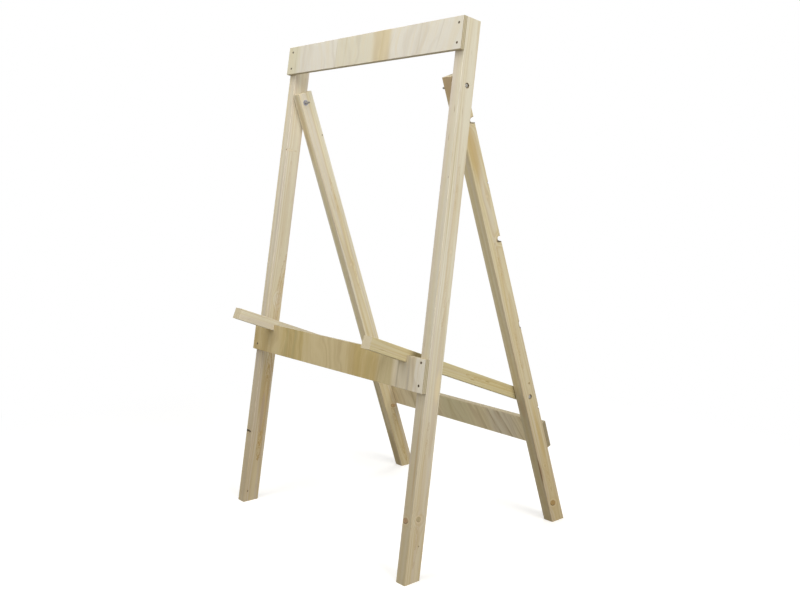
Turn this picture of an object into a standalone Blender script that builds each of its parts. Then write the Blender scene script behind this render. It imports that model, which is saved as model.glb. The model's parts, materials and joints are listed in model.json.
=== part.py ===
# Folding wooden target stand, front frame and rear frame hinged near the top.
# Metres, +Z up. The front faces -Y and +X is on the right as seen from the front.
# The origin is on the floor, under the centre of the standing stand.

import math

import bmesh
import bpy
from mathutils import Matrix, Vector

# Timber sections
TIMBER_THICKNESS = 0.044
TIMBER_DEPTH = 0.069
ARM_THICKNESS = 0.044
ARM_DEPTH = 0.044
BOARD_THICKNESS = 0.018
TIMBER_EASE = 0.002
BOARD_EASE = 0.001

# Front frame: two posts with a board across them at the top and one at the middle
STAND_WIDTH = 1.055
POST_LENGTH = 1.951
POST_LEAN = math.radians(6.55)
TOP_BOARD_HEIGHT = 0.1195
FRONT_BOARD_TOP = 0.7575
FRONT_BOARD_HEIGHT = 0.1165

# Rear frame: two legs inside the posts with a board across their backs
LEG_SLOPE = math.radians(20.88)
LEG_ABOVE_HINGE = 0.042
LEG_BEHIND_HINGE = 0.012
REAR_BOARD_DOWN = 1.387
REAR_BOARD_HEIGHT = 0.1125
HINGE_BELOW_TOP = 0.238
SIDE_GAP = 0.003

# Arms: pivot on the legs, and hook over the front board
ARM_PIVOT_DOWN = 1.25
ARM_OVERHANG = 0.175
ARM_TAIL = 0.036
NOTCH_DEPTH = 0.025
NOTCH_FRONT_PLAY = 0.0006
NOTCH_BACK_PLAY = 0.0025
NOTCH_LEAD_IN = 0.014

# Pivot bolts, with a sunk hexagon head outside and a washer and nut inside
BOLT_DIAMETER = 0.008
BOLT_HEAD_FLATS = 0.013
BOLT_HEAD_HEIGHT = 0.0053
BOLT_SPARE = 0.0185
BOLT_END_CHAMFER = 0.0008
HEAD_RECESS_DIAMETER = 0.020
HEAD_RECESS_DEPTH = 0.008
NUT_FLATS = 0.013
NUT_HEIGHT = 0.0065
WASHER_DIAMETER = 0.024
WASHER_THICKNESS = 0.002

# Board screws, countersunk
SCREW_DIAMETER = 0.0045
SCREW_HEAD_DIAMETER = 0.009
SCREW_HEAD_HEIGHT = 0.003
SCREW_SUNK = 0.0006
SCREW_BITE = 0.030
SCREW_POINT = 0.005
SCREW_EDGE_INSET = 0.024
FRONT_BOARD_TOP_INSET = 0.014
SCREW_INSET_LEFT = 0.0285
SCREW_INSET_RIGHT = 0.021

# Knots torn out along an edge: height above the foot or the hinge, how far in from the edge
# the hollow's middle is, how tall the hollow is, how far it reaches from its middle across
# each of the two faces, and its tilt in degrees
POST_TORN_KNOTS = (
    (0.292, 0.0148, 0.0072, 0.0136, 0.016, 0),
)
LEG_TORN_KNOTS = (
    (-0.133, 0, 0.021, 0.025, 0.022, 0),
    (-0.374, 0, 0.007, 0.006, 0.005, 0),
    (-0.595, 0, 0.019, 0.022, 0.019, -24),
    (-0.950, 0, 0.026, 0.008, 0.006, 0),
    (-1.313, 0, 0.011, 0.006, 0.005, 0),
)
KNOT_SQUARENESS = 0.72

# Clearances: between faces that touch, and between a bolt or screw and its hole
SEAT = 0.0003
HOLE_CLEARANCE = 0.0003

# How far a cutter runs past the faces that it cuts
CUT_PAST = 0.020

ROUND_SIDES = 28
SCREW_SIDES = 14
SMOOTH_BELOW = math.radians(35)

# Sizes that follow from the ones above
POST_X = STAND_WIDTH / 2
LEG_X = POST_X - TIMBER_THICKNESS - SIDE_GAP
ARM_X = LEG_X - TIMBER_THICKNESS - SIDE_GAP
HINGE_HEIGHT = POST_LENGTH - HINGE_BELOW_TOP
HINGE_DEPTH = TIMBER_DEPTH / 2
FOLD_ANGLE = POST_LEAN + LEG_SLOPE
SPACER_THICKNESS = SIDE_GAP - 2 * SEAT
LEG_FRONT = LEG_BEHIND_HINGE - TIMBER_DEPTH / 2
LEG_BACK = LEG_BEHIND_HINGE + TIMBER_DEPTH / 2


def turned(angle, y, z):
    """The (y, z) of a point given in a frame that is turned by angle about +X."""
    return (y * math.cos(angle) - z * math.sin(angle), y * math.sin(angle) + z * math.cos(angle))


HINGE_Y, HINGE_Z = turned(-POST_LEAN, HINGE_DEPTH, HINGE_HEIGHT)


def leg_to_post_frame(y, z):
    hinge_turned = turned(FOLD_ANGLE, y, z)
    return (HINGE_DEPTH + hinge_turned[0], HINGE_HEIGHT + hinge_turned[1])


# The arm's slope follows from its pivot and from the board edge that its notch sits on
PIVOT_IN_POST = leg_to_post_frame(LEG_BEHIND_HINGE, -ARM_PIVOT_DOWN)
EDGE_IN_POST = (-SEAT - BOARD_THICKNESS / 2, FRONT_BOARD_TOP + SEAT)
RISE = EDGE_IN_POST[1] - PIVOT_IN_POST[1]
RUN = PIVOT_IN_POST[0] - EDGE_IN_POST[0]
ARM_TO_EDGE = math.hypot(RISE, RUN)
ARM_ANGLE_IN_POST = math.atan2(RISE, RUN) - math.asin((NOTCH_DEPTH - ARM_DEPTH / 2) / ARM_TO_EDGE)
ARM_SLOPE = ARM_ANGLE_IN_POST + POST_LEAN
ARM_REACH = ARM_TO_EDGE + BOARD_THICKNESS / 2 + ARM_OVERHANG
LIFT_ANGLE = math.pi / 2 - LEG_SLOPE - ARM_SLOPE

# Front and back ends of the standing stand, which put the origin under its middle
ARM_PIVOT_Y = HINGE_Y + turned(LEG_SLOPE, LEG_BEHIND_HINGE, -ARM_PIVOT_DOWN)[0]
FRONT_END = ARM_PIVOT_Y + turned(-ARM_SLOPE, -ARM_REACH, -ARM_DEPTH / 2)[0]
LEG_FOOT_BACK = -(HINGE_Z + LEG_BACK * math.sin(LEG_SLOPE)) / math.cos(LEG_SLOPE)
BACK_END = HINGE_Y + turned(LEG_SLOPE, LEG_BACK, LEG_FOOT_BACK)[0]
MIDDLE = (FRONT_END + BACK_END) / 2


def clear_scene():
    for old in list(bpy.data.objects):
        bpy.data.objects.remove(old, do_unlink=True)


def material(name, colour, roughness, metallic=0.0):
    made = bpy.data.materials.new(name)
    made.use_nodes = True
    shader = made.node_tree.nodes["Principled BSDF"]
    shader.inputs["Base Color"].default_value = (*colour, 1.0)
    shader.inputs["Roughness"].default_value = roughness
    shader.inputs["Metallic"].default_value = metallic
    return made


def empty(name, parent=None, place=(0, 0, 0), tilt=0.0):
    made = bpy.data.objects.new(name, None)
    made.empty_display_size = 0.1
    bpy.context.scene.collection.objects.link(made)
    made.parent = parent
    made.location = place
    made.rotation_euler = (tilt, 0, 0)
    return made


def finished(name, shape, parent, look=None):
    """Turns a bmesh into an object under its parent. With no look it is a cutter."""
    bmesh.ops.recalc_face_normals(shape, faces=shape.faces)
    mesh = bpy.data.meshes.new(name)
    shape.to_mesh(mesh)
    shape.free()
    made = bpy.data.objects.new(name, mesh)
    bpy.context.scene.collection.objects.link(made)
    made.parent = parent
    if look is None:
        made.hide_render = True
        made.display_type = "WIRE"
    else:
        mesh.materials.append(look)
    return made


def cut(piece, cutter):
    hole = piece.modifiers.new(cutter.name, "BOOLEAN")
    hole.operation = "DIFFERENCE"
    hole.solver = "EXACT"
    hole.object = cutter


def prism(shape, outline, x_low, x_high, ease):
    """Extrudes an outline of (y, z) corners along X, and eases its long edges."""
    corners = [shape.verts.new((x_low, y, z)) for y, z in outline]
    side = shape.faces.new(corners)
    swept = bmesh.ops.extrude_face_region(shape, geom=[side])
    moved = [item for item in swept["geom"] if isinstance(item, bmesh.types.BMVert)]
    bmesh.ops.translate(shape, verts=moved, vec=(x_high - x_low, 0, 0))
    shape.normal_update()
    if not ease:
        return
    longest = max(edge.calc_length() for edge in shape.edges)
    long_edges = [edge for edge in shape.edges if edge.calc_length() > longest / 2]
    bmesh.ops.bevel(
        shape, geom=long_edges, offset=ease, offset_type="OFFSET", segments=2,
        profile=0.5, affect="EDGES", material=-1,
    )


def timber(name, outline, side, x_outer, thickness, parent, look, ease=TIMBER_EASE):
    """A length of timber whose outer face is at x_outer on the side given as -1 or 1."""
    shape = bmesh.new()
    x_low, x_high = sorted((side * x_outer, side * (x_outer - thickness)))
    prism(shape, outline, x_low, x_high, ease)
    return finished(name, shape, parent, look)


def board(name, half_width, y_low, y_high, z_low, z_high, parent, look):
    shape = bmesh.new()
    outline = ((y_low, z_low), (y_high, z_low), (y_high, z_high), (y_low, z_high))
    prism(shape, outline, -half_width, half_width, BOARD_EASE)
    return finished(name, shape, parent, look)


def spun(shape, profile, sides, place):
    """Turns a profile of (radius, height) about Z, from one point on the axis to another."""
    before = set(shape.verts)
    points = [shape.verts.new((radius, 0, height)) for radius, height in profile]
    edges = [shape.edges.new(pair) for pair in zip(points, points[1:])]
    bmesh.ops.spin(
        shape, geom=points + edges, cent=(0, 0, 0), axis=(0, 0, 1),
        angle=2 * math.pi, steps=sides, use_merge=True,
    )
    made = [vert for vert in shape.verts if vert not in before]
    bmesh.ops.remove_doubles(shape, verts=made, dist=1e-6)
    made = [vert for vert in shape.verts if vert not in before]
    bmesh.ops.transform(shape, matrix=place, verts=made)


def cylinder(shape, radius, low, high, sides, place):
    spun(shape, ((0, low), (radius, low), (radius, high), (0, high)), sides, place)


def inward(side, x_outer, y, z):
    """Places a shape's +Z along X, pointing to the middle of the stand, from x_outer."""
    turn = Matrix.Rotation(-side * math.pi / 2, 4, "Y")
    return Matrix.Translation(Vector((side * x_outer, y, z))) @ turn


def smooth(piece):
    piece.data.shade_smooth()
    piece.data.set_sharp_from_angle(angle=SMOOTH_BELOW)


def bolt_hole(name, side, x_outer, thickness, y, z, parent, sunk):
    """The hole of a pivot bolt through one timber, with the head's recess if it is sunk."""
    shape = bmesh.new()
    radius = BOLT_DIAMETER / 2 + HOLE_CLEARANCE
    end = thickness + CUT_PAST
    profile = [(0, -CUT_PAST), (radius, -CUT_PAST), (radius, end), (0, end)]
    if sunk:
        recess = HEAD_RECESS_DIAMETER / 2
        profile[1:2] = [
            (recess, -CUT_PAST), (recess, HEAD_RECESS_DEPTH), (radius, HEAD_RECESS_DEPTH)
        ]
    spun(shape, profile, ROUND_SIDES, inward(side, x_outer, y, z))
    return finished(name, shape, parent)


def hexagon(shape, flats, low, high, place):
    before = set(shape.verts)
    bmesh.ops.create_cone(
        shape, cap_ends=True, segments=6, radius1=flats / math.sqrt(3),
        radius2=flats / math.sqrt(3), depth=high - low,
        matrix=Matrix.Translation((0, 0, (low + high) / 2)),
    )
    made = [vert for vert in shape.verts if vert not in before]
    bmesh.ops.transform(shape, matrix=place, verts=made)


def pivot_hardware(prefix, label, side, x_outer, outer, inner, y, z, parent, steel, worn_steel):
    """Bolt, spacer, washer and nut that join an outer timber to an inner one."""
    place = inward(side, x_outer, y, z)
    under_head = HEAD_RECESS_DEPTH - SEAT
    inner_face = outer + SIDE_GAP + inner
    nut_low = inner_face + SEAT + WASHER_THICKNESS + SEAT
    length = nut_low + NUT_HEIGHT + BOLT_SPARE

    head = bmesh.new()
    hexagon(head, BOLT_HEAD_FLATS, under_head - BOLT_HEAD_HEIGHT, under_head, place)
    bolt = finished(f"{prefix}_bolt_{label}", head, parent, steel)
    shank = bmesh.new()
    start = under_head - BOLT_HEAD_HEIGHT / 2
    radius = BOLT_DIAMETER / 2
    outline = (
        (0, start), (radius, start), (radius, length - BOLT_END_CHAMFER),
        (radius - BOLT_END_CHAMFER, length), (0, length),
    )
    spun(shank, outline, ROUND_SIDES, place)
    joined = bolt.modifiers.new("shank", "BOOLEAN")
    joined.operation = "UNION"
    joined.solver = "EXACT"
    joined.object = finished(f"{prefix}_shank_{label}", shank, parent)

    hole = BOLT_DIAMETER / 2 + HOLE_CLEARANCE
    for kind, low, thickness in (
        ("spacer", outer + SEAT, SPACER_THICKNESS),
        ("washer", inner_face + SEAT, WASHER_THICKNESS),
    ):
        ring = bmesh.new()
        rim = WASHER_DIAMETER / 2
        high = low + thickness
        spun(ring, ((hole, low), (rim, low), (rim, high), (hole, high), (hole, low)), ROUND_SIDES, place)
        smooth(finished(f"{prefix}_{kind}_{label}", ring, parent, worn_steel))

    shape = bmesh.new()
    hexagon(shape, NUT_FLATS, nut_low, nut_low + NUT_HEIGHT, place)
    nut = finished(f"{prefix}_nut_{label}", shape, parent, steel)
    bore = bmesh.new()
    cylinder(bore, hole, nut_low - CUT_PAST, nut_low + NUT_HEIGHT + CUT_PAST, ROUND_SIDES, place)
    cut(nut, finished(f"{prefix}_nut_bore_{label}", bore, parent))
    smooth(bolt)
    smooth(nut)


def screw_profile(grow):
    """A countersunk screw, head up, from its point to its head, or its hole where grow is set."""
    head = SCREW_HEAD_DIAMETER / 2 + grow
    shank = SCREW_DIAMETER / 2 + grow
    tip = -SCREW_SUNK - BOARD_THICKNESS - SCREW_BITE - grow
    profile = [
        (0, tip), (shank, tip + SCREW_POINT), (shank, -SCREW_HEAD_HEIGHT - grow), (head, -SCREW_SUNK)
    ]
    if not grow:
        return profile + [(0, -SCREW_SUNK)]
    return profile + [(head, CUT_PAST), (0, CUT_PAST)]


def board_screws(name, rows, face_y, outward, insets, parent, look, pieces):
    """Screws through a board's ends into the timbers behind it, and their holes in the pieces."""
    holes = bmesh.new()
    turn = Matrix.Rotation(-outward * math.pi / 2, 4, "X")
    places = [Matrix.Translation(Vector((x, face_y, z))) @ turn for x in insets for z in rows]
    for number, place in enumerate(places, 1):
        screw = bmesh.new()
        spun(screw, screw_profile(0), SCREW_SIDES, place)
        smooth(finished(f"{name}_screw_{number}", screw, parent, look))
        spun(holes, screw_profile(HOLE_CLEARANCE), SCREW_SIDES, place)
    cutter = finished(f"{name}_screw_holes", holes, parent)
    for piece in pieces:
        cut(piece, cutter)


def torn_knots(name, piece, edge_x, edge_y, knots, parent):
    """Cuts the hollows that torn-out knots left along an edge of a timber."""
    hollows = bmesh.new()
    for along, inset, tall, across_x, across_y, tilt in knots:
        made = bmesh.ops.create_icosphere(hollows, subdivisions=3, radius=1)["verts"]
        for vert in made:
            vert.co = [math.copysign(abs(part) ** KNOT_SQUARENESS, part) for part in vert.co]
        shape = Matrix.Diagonal((across_x, across_y, tall / 2, 1))
        turn = Matrix.Rotation(math.radians(tilt), 4, "X")
        place = Matrix.Translation((edge_x - math.copysign(inset, edge_x), edge_y, along))
        bmesh.ops.transform(hollows, matrix=place @ turn @ shape, verts=made)
    cut(piece, finished(name, hollows, parent))


def front_frame(parent, pine, board_pine, steel):
    foot_back = TIMBER_DEPTH * math.tan(POST_LEAN)
    outline = ((0, 0), (TIMBER_DEPTH, foot_back), (TIMBER_DEPTH, POST_LENGTH), (0, POST_LENGTH))
    posts = []
    for label, side in (("left", -1), ("right", 1)):
        post = timber(f"post_{label}", outline, side, POST_X, TIMBER_THICKNESS, parent, pine)
        hole = bolt_hole(
            f"hinge_hole_post_{label}", side, POST_X, TIMBER_THICKNESS,
            HINGE_DEPTH, HINGE_HEIGHT, parent, True,
        )
        cut(post, hole)
        posts.append(post)
    torn_knots("post_torn_knots", posts[0], -POST_X, 0, POST_TORN_KNOTS, parent)
    back = -SEAT
    face = back - BOARD_THICKNESS
    insets = (-POST_X + SCREW_INSET_LEFT, POST_X - SCREW_INSET_RIGHT)
    for name, high, height, top_inset in (
        ("top_board", POST_LENGTH, TOP_BOARD_HEIGHT, SCREW_EDGE_INSET),
        ("front_board", FRONT_BOARD_TOP, FRONT_BOARD_HEIGHT, FRONT_BOARD_TOP_INSET),
    ):
        low = high - height
        plank = board(name, POST_X, face, back, low, high, parent, board_pine)
        rows = (high - top_inset, low + SCREW_EDGE_INSET)
        board_screws(name, rows, face, -1, insets, parent, steel, (plank, *posts))


def rear_frame(parent, pine, board_pine, steel):
    foot_front = -(HINGE_Z + LEG_FRONT * math.sin(LEG_SLOPE)) / math.cos(LEG_SLOPE)
    outline = (
        (LEG_FRONT, foot_front), (LEG_BACK, LEG_FOOT_BACK),
        (LEG_BACK, LEG_ABOVE_HINGE), (LEG_FRONT, LEG_ABOVE_HINGE),
    )
    legs = []
    for label, side in (("left", -1), ("right", 1)):
        leg = timber(f"rear_leg_{label}", outline, side, LEG_X, TIMBER_THICKNESS, parent, pine)
        hinge = bolt_hole(
            f"hinge_hole_leg_{label}", side, LEG_X, TIMBER_THICKNESS, 0, 0, parent, False
        )
        pivot = bolt_hole(
            f"arm_hole_leg_{label}", side, LEG_X, TIMBER_THICKNESS,
            LEG_BEHIND_HINGE, -ARM_PIVOT_DOWN, parent, True,
        )
        cut(leg, hinge)
        cut(leg, pivot)
        legs.append(leg)
    torn_knots("leg_torn_knots", legs[1], LEG_X, LEG_BACK, LEG_TORN_KNOTS, parent)
    low = -REAR_BOARD_DOWN - REAR_BOARD_HEIGHT
    front = LEG_BACK + SEAT
    back = front + BOARD_THICKNESS
    plank = board("rear_board", LEG_X, front, back, low, -REAR_BOARD_DOWN, parent, board_pine)
    rows = (-REAR_BOARD_DOWN - SCREW_EDGE_INSET, low + SCREW_EDGE_INSET)
    middle = LEG_X - TIMBER_THICKNESS / 2
    board_screws("rear_board", rows, back, 1, (-middle, middle), parent, steel, (plank, *legs))


def arm(label, side, parent, pine):
    """An arm along -Y from its pivot, with a notch below that hooks over the front board."""
    half = ARM_DEPTH / 2
    outline = ((ARM_TAIL, -half), (ARM_TAIL, half), (-ARM_REACH, half), (-ARM_REACH, -half))
    made = timber(f"arm_{label}", outline, side, ARM_X, ARM_THICKNESS, parent, pine)
    hole = bolt_hole(f"arm_hole_{label}", side, ARM_X, ARM_THICKNESS, 0, 0, parent, False)
    cut(made, hole)
    # The notch is drawn in the posts' frame, where the board stands, and turned into the arm's
    front = -SEAT - BOARD_THICKNESS - NOTCH_FRONT_PLAY
    back = NOTCH_BACK_PLAY
    roof = FRONT_BOARD_TOP + SEAT
    mouth = roof - ARM_DEPTH
    lead = NOTCH_LEAD_IN * ARM_DEPTH / NOTCH_DEPTH
    corners = ((front, mouth), (back + lead, mouth), (back, roof), (front, roof))
    in_arm = [
        turned(ARM_ANGLE_IN_POST, y - PIVOT_IN_POST[0], z - PIVOT_IN_POST[1]) for y, z in corners
    ]
    notch = bmesh.new()
    x_low, x_high = sorted((side * (ARM_X + CUT_PAST), side * (ARM_X - ARM_THICKNESS - CUT_PAST)))
    prism(notch, in_arm, x_low, x_high, 0)
    cut(made, finished(f"arm_notch_{label}", notch, parent))


def build():
    clear_scene()
    pine = material("planed_pine", (0.62, 0.50, 0.31), 0.6)
    board_pine = material("board_pine", (0.66, 0.56, 0.38), 0.6)
    steel = material("zinc_steel", (0.42, 0.43, 0.45), 0.4, 1.0)
    worn_steel = material("washer_steel", (0.50, 0.51, 0.54), 0.45, 1.0)

    stand = empty("stand", None, (0, -MIDDLE, 0), -POST_LEAN)
    hinge = empty("rear_frame_hinge", stand, (0, HINGE_DEPTH, HINGE_HEIGHT), FOLD_ANGLE)
    front_frame(stand, pine, board_pine, steel)
    rear_frame(hinge, pine, board_pine, steel)
    for label, side in (("left", -1), ("right", 1)):
        pivot = empty(
            f"arm_pivot_{label}", hinge, (0, LEG_BEHIND_HINGE, -ARM_PIVOT_DOWN),
            -ARM_SLOPE - LEG_SLOPE,
        )
        arm(label, side, pivot, pine)
        pivot_hardware(
            "hinge", label, side, POST_X, TIMBER_THICKNESS, TIMBER_THICKNESS,
            HINGE_DEPTH, HINGE_HEIGHT, stand, steel, worn_steel,
        )
        pivot_hardware(
            "arm", label, side, LEG_X, TIMBER_THICKNESS, ARM_THICKNESS,
            LEG_BEHIND_HINGE, -ARM_PIVOT_DOWN, hinge, steel, worn_steel,
        )
    print("arm slope", math.degrees(ARM_SLOPE), "arm reach", ARM_REACH)
    print("fold", math.degrees(FOLD_ANGLE), "lift", math.degrees(LIFT_ANGLE))


build()
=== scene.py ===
import json
import math

import bmesh
import bpy
from mathutils import Matrix, Vector

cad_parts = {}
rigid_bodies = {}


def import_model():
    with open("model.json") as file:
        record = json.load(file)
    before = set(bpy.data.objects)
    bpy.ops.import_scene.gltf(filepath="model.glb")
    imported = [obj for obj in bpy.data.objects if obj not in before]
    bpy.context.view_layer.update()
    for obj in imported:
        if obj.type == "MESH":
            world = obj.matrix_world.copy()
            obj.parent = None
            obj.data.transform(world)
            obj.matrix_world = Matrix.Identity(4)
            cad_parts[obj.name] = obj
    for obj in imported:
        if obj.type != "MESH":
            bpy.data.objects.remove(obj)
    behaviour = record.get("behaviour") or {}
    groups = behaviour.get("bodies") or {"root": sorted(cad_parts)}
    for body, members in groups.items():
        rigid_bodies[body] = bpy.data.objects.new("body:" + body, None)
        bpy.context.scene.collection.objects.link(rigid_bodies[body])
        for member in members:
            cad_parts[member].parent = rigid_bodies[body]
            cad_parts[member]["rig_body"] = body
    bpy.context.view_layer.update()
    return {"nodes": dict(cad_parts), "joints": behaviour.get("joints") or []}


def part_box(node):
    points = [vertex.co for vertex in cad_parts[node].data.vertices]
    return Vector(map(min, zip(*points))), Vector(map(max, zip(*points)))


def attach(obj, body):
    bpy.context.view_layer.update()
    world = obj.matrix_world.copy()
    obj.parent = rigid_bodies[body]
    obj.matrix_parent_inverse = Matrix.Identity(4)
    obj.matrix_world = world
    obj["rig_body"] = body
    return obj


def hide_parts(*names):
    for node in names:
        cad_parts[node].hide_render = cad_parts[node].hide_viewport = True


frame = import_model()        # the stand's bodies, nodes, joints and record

nodes = frame["nodes"]
joints = {joint["name"]: joint for joint in frame["joints"]}
print("frame loaded with", len(nodes), "nodes")

eyeDetails = {
    "place": (2.6072, -2.3384, 1.2983),
    "yaw": 47.113,          # degrees, turned left from looking along +Y
    "pitch": -1.079,
    "roll": 1.656,
    "lens": 38.457,
    "shift": (-0.0202, -0.1066),
}


def setUpCamera(details):
    made = bpy.data.objects.new("camera", bpy.data.cameras.new("camera"))
    bpy.context.scene.collection.objects.link(made)
    yaw = Matrix.Rotation(math.radians(details["yaw"]), 4, "Z")
    pitch = Matrix.Rotation(math.radians(90 + details["pitch"]), 4, "X")
    roll = Matrix.Rotation(math.radians(details["roll"]), 4, "Z")
    made.matrix_world = Matrix.Translation(details["place"]) @ yaw @ pitch @ roll
    made.data.lens = details["lens"]
    made.data.shift_x, made.data.shift_y = details["shift"]
    bpy.context.scene.camera = made


setUpCamera(eyeDetails)
print("camera set")


# materials

def tone(red, green, blue):            # a colour as seen on screen, 0 to 255
    def linear(part):
        part /= 255
        return part / 12.92 if part <= 0.04045 else ((part + 0.055) / 1.055) ** 2.4
    return (linear(red), linear(green), linear(blue), 1.0)


class Value:                           # a number in a material; arithmetic on it adds Math nodes
    def __init__(self, owner, socket):
        self.owner = owner
        self.socket = socket

    def maths(self, operation, *others):
        return self.owner.node("Math", {"operation": operation}, dict(enumerate((self, *others))))

    def __add__(self, other):
        return self.maths("ADD", other)

    def __sub__(self, other):
        return self.maths("SUBTRACT", other)

    def __rsub__(self, other):
        return self.owner.node("Math", {"operation": "SUBTRACT"}, {0: other, 1: self})

    def __mul__(self, other):
        return self.maths("MULTIPLY", other)

    def __truediv__(self, other):
        return self.maths("DIVIDE", other)

    def __pow__(self, other):
        return self.maths("POWER", other)

    def __abs__(self):
        return self.maths("ABSOLUTE")

    __radd__ = __add__
    __rmul__ = __mul__

    def rise(self, low, high):         # 0 at low, 1 at high, smooth between
        sockets = {"Value": self, "From Min": low, "From Max": high}
        return self.owner.node("MapRange", {"interpolation_type": "SMOOTHSTEP"}, sockets)

    def band(self, start, full, fade, end):    # 0 up to start, 1 from full to fade, 0 again from end
        return self.rise(start, full) * self.rise(end, fade)


def diagonal(first, second):           # the long side of a right triangle
    return (first * first + second * second) ** 0.5


class Nodes:                           # the nodes of one material, or of the world
    def __init__(self, tree):
        self.tree = tree

    def node(self, kind, settings=None, sockets=None, output=0):
        made = self.tree.nodes.new("ShaderNode" + kind)
        for setting, choice in (settings or {}).items():
            setattr(made, setting, choice)
        for slot, value in (sockets or {}).items():
            self.feed(made.inputs[slot], value)
        return Value(self, made.outputs[output])

    def feed(self, socket, value):
        if isinstance(value, Value):
            self.tree.links.new(value.socket, socket)
        else:
            socket.default_value = value

    def parts(self, vector):
        return [self.node("SeparateXYZ", None, {0: vector}, side) for side in range(3)]

    def mixed(self, amount, first, second, blend="MIX"):
        settings = {"data_type": "RGBA", "blend_type": blend}
        return self.node("Mix", settings, {0: amount, 6: first, 7: second}, 2)

    def background(self):              # 1 where the floor or world is looked at, not lighting the stand
        kinds = ("Camera", "Glossy", "Transmission")
        eye, gloss, glass = [self.node("LightPath", output=f"Is {kind} Ray") for kind in kinds]
        return eye.maths("MAXIMUM", gloss).maths("MAXIMUM", glass)


class Look(Nodes):                     # a material
    def __init__(self, name):
        self.material = bpy.data.materials.new(name)
        self.material.use_nodes = True
        super().__init__(self.material.node_tree)
        self.shader = self.tree.nodes["Principled BSDF"]
        self.spot = self.node("TexCoord", output="Object")

    def finish(self, **sockets):       # Base_Color=..., Roughness=..., Normal=...
        for slot, value in sockets.items():
            self.feed(self.shader.inputs[slot.replace("_", " ")], value)
        return self.material

    def placed(self, origin, turn=(0, 0, 0), scale=(1, 1, 1), vector=None):
        sockets = {"Vector": vector or self.spot, "Location": origin, "Rotation": turn, "Scale": scale}
        return self.node("Mapping", {"vector_type": "TEXTURE"}, sockets)

    def joined(self, x, y, z):
        return self.node("CombineXYZ", None, {0: x, 1: y, 2: z})

    def noise(self, vector, scale=1.0, detail=2.0, roughness=0.5, output=0):
        sockets = {"Vector": vector, "Scale": scale, "Detail": detail, "Roughness": roughness}
        return self.node("TexNoise", None, sockets, output)

    def length(self, vector):
        return self.node("VectorMath", {"operation": "LENGTH"}, {0: vector}, "Value")

    def bump(self, height, strength, distance):
        return self.node("Bump", None, {"Height": height, "Strength": strength, "Distance": distance})


class WoodLook(Look):                  # wood painted in layers, in axes that lean with its piece
    def __init__(self, name, place):
        super().__init__(name)
        self.place = place
        self.half = place["half"]
        self.local = self.placed(place["origin"], (place["tilt"], 0, 0))
        self.x, self.y, self.z = self.parts(self.local)

    def paint(self, amount, shade, blend="MIX"):    # shade is a tone's three numbers, or a mixed colour
        over = shade if isinstance(shade, Value) else tone(*shade)
        self.colour = self.mixed(amount, self.colour, over, blend)

    def grain(self, x, y, z, detail, roughness, output=0):
        return self.noise(self.joined(x, y, z), 1, detail, roughness, output)

    def facing(self):                  # how far a face looks along the piece's depth, and along its length
        tilt = self.place["tilt"]
        y, z = self.parts(self.node("TexCoord", output="Normal"))[1:]
        return (
            abs(y * math.cos(tilt) + z * math.sin(tilt)),
            abs(z * math.cos(tilt) - y * math.sin(tilt)),
        )

    def dress(self, wood, height, rough):
        normal, gloss = self.bump(height, *wood["bump"]), wood["gloss"]
        return self.finish(Base_Color=self.colour, Roughness=rough, Normal=normal, Specular_IOR_Level=gloss)


def wear(name, look):                  # gives a node or a new piece its material
    mesh = nodes[name].data if name in nodes else bpy.data.objects[name].data
    mesh.materials.clear()
    mesh.materials.append(look)


def turnedBox(name, tilt):             # a node's box in axes that lean with the piece
    back = Matrix.Rotation(-tilt, 3, "X")
    points = [back @ vert.co for vert in nodes[name].data.vertices]
    return [Vector(pick(point[side] for point in points) for side in range(3)) for pick in (min, max)]


def leanOf(name):                      # how far a long piece leans from upright, about X
    faces = [face for face in nodes[name].data.polygons if abs(face.normal.x) < 0.1]
    broadest = max(faces, key=lambda face: face.area).normal
    run = Vector((0, -broadest.z, broadest.y))
    if run.z < 0:
        run.negate()
    return math.atan2(-run.y, run.z)


def pieceFrame(name, tilt, zero=None): # a leaning piece's middle, or on its middle line the height of zero
    low, high = turnedBox(name, tilt)
    middle = (low + high) / 2
    if zero is not None:
        middle.z = (Matrix.Rotation(-tilt, 3, "X") @ Vector(zero)).z
    return {
        "origin": Matrix.Rotation(tilt, 3, "X") @ middle,
        "tilt": tilt,
        "half": (high - low) / 2,
        "low": low.z - middle.z,
    }


def pivotPlace(place, pivot):          # a pivot's place across and along a leaning piece
    offset = Matrix.Rotation(-place["tilt"], 3, "X") @ (pivot - place["origin"])
    return offset.y, offset.z


postLean = leanOf("post_left")
legLean = leanOf("rear_leg_left")
armLean = leanOf("arm_left")
footVerts = [vert.co for vert in nodes["post_left"].data.vertices if vert.co.z < 1e-4]
postFoot = min(footVerts, key=lambda spot: spot.y)
hinge = Vector(joints["rear_frame_fold"]["pos_m"])
armPivot = Vector(joints["arm_left_lift"]["pos_m"])

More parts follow.
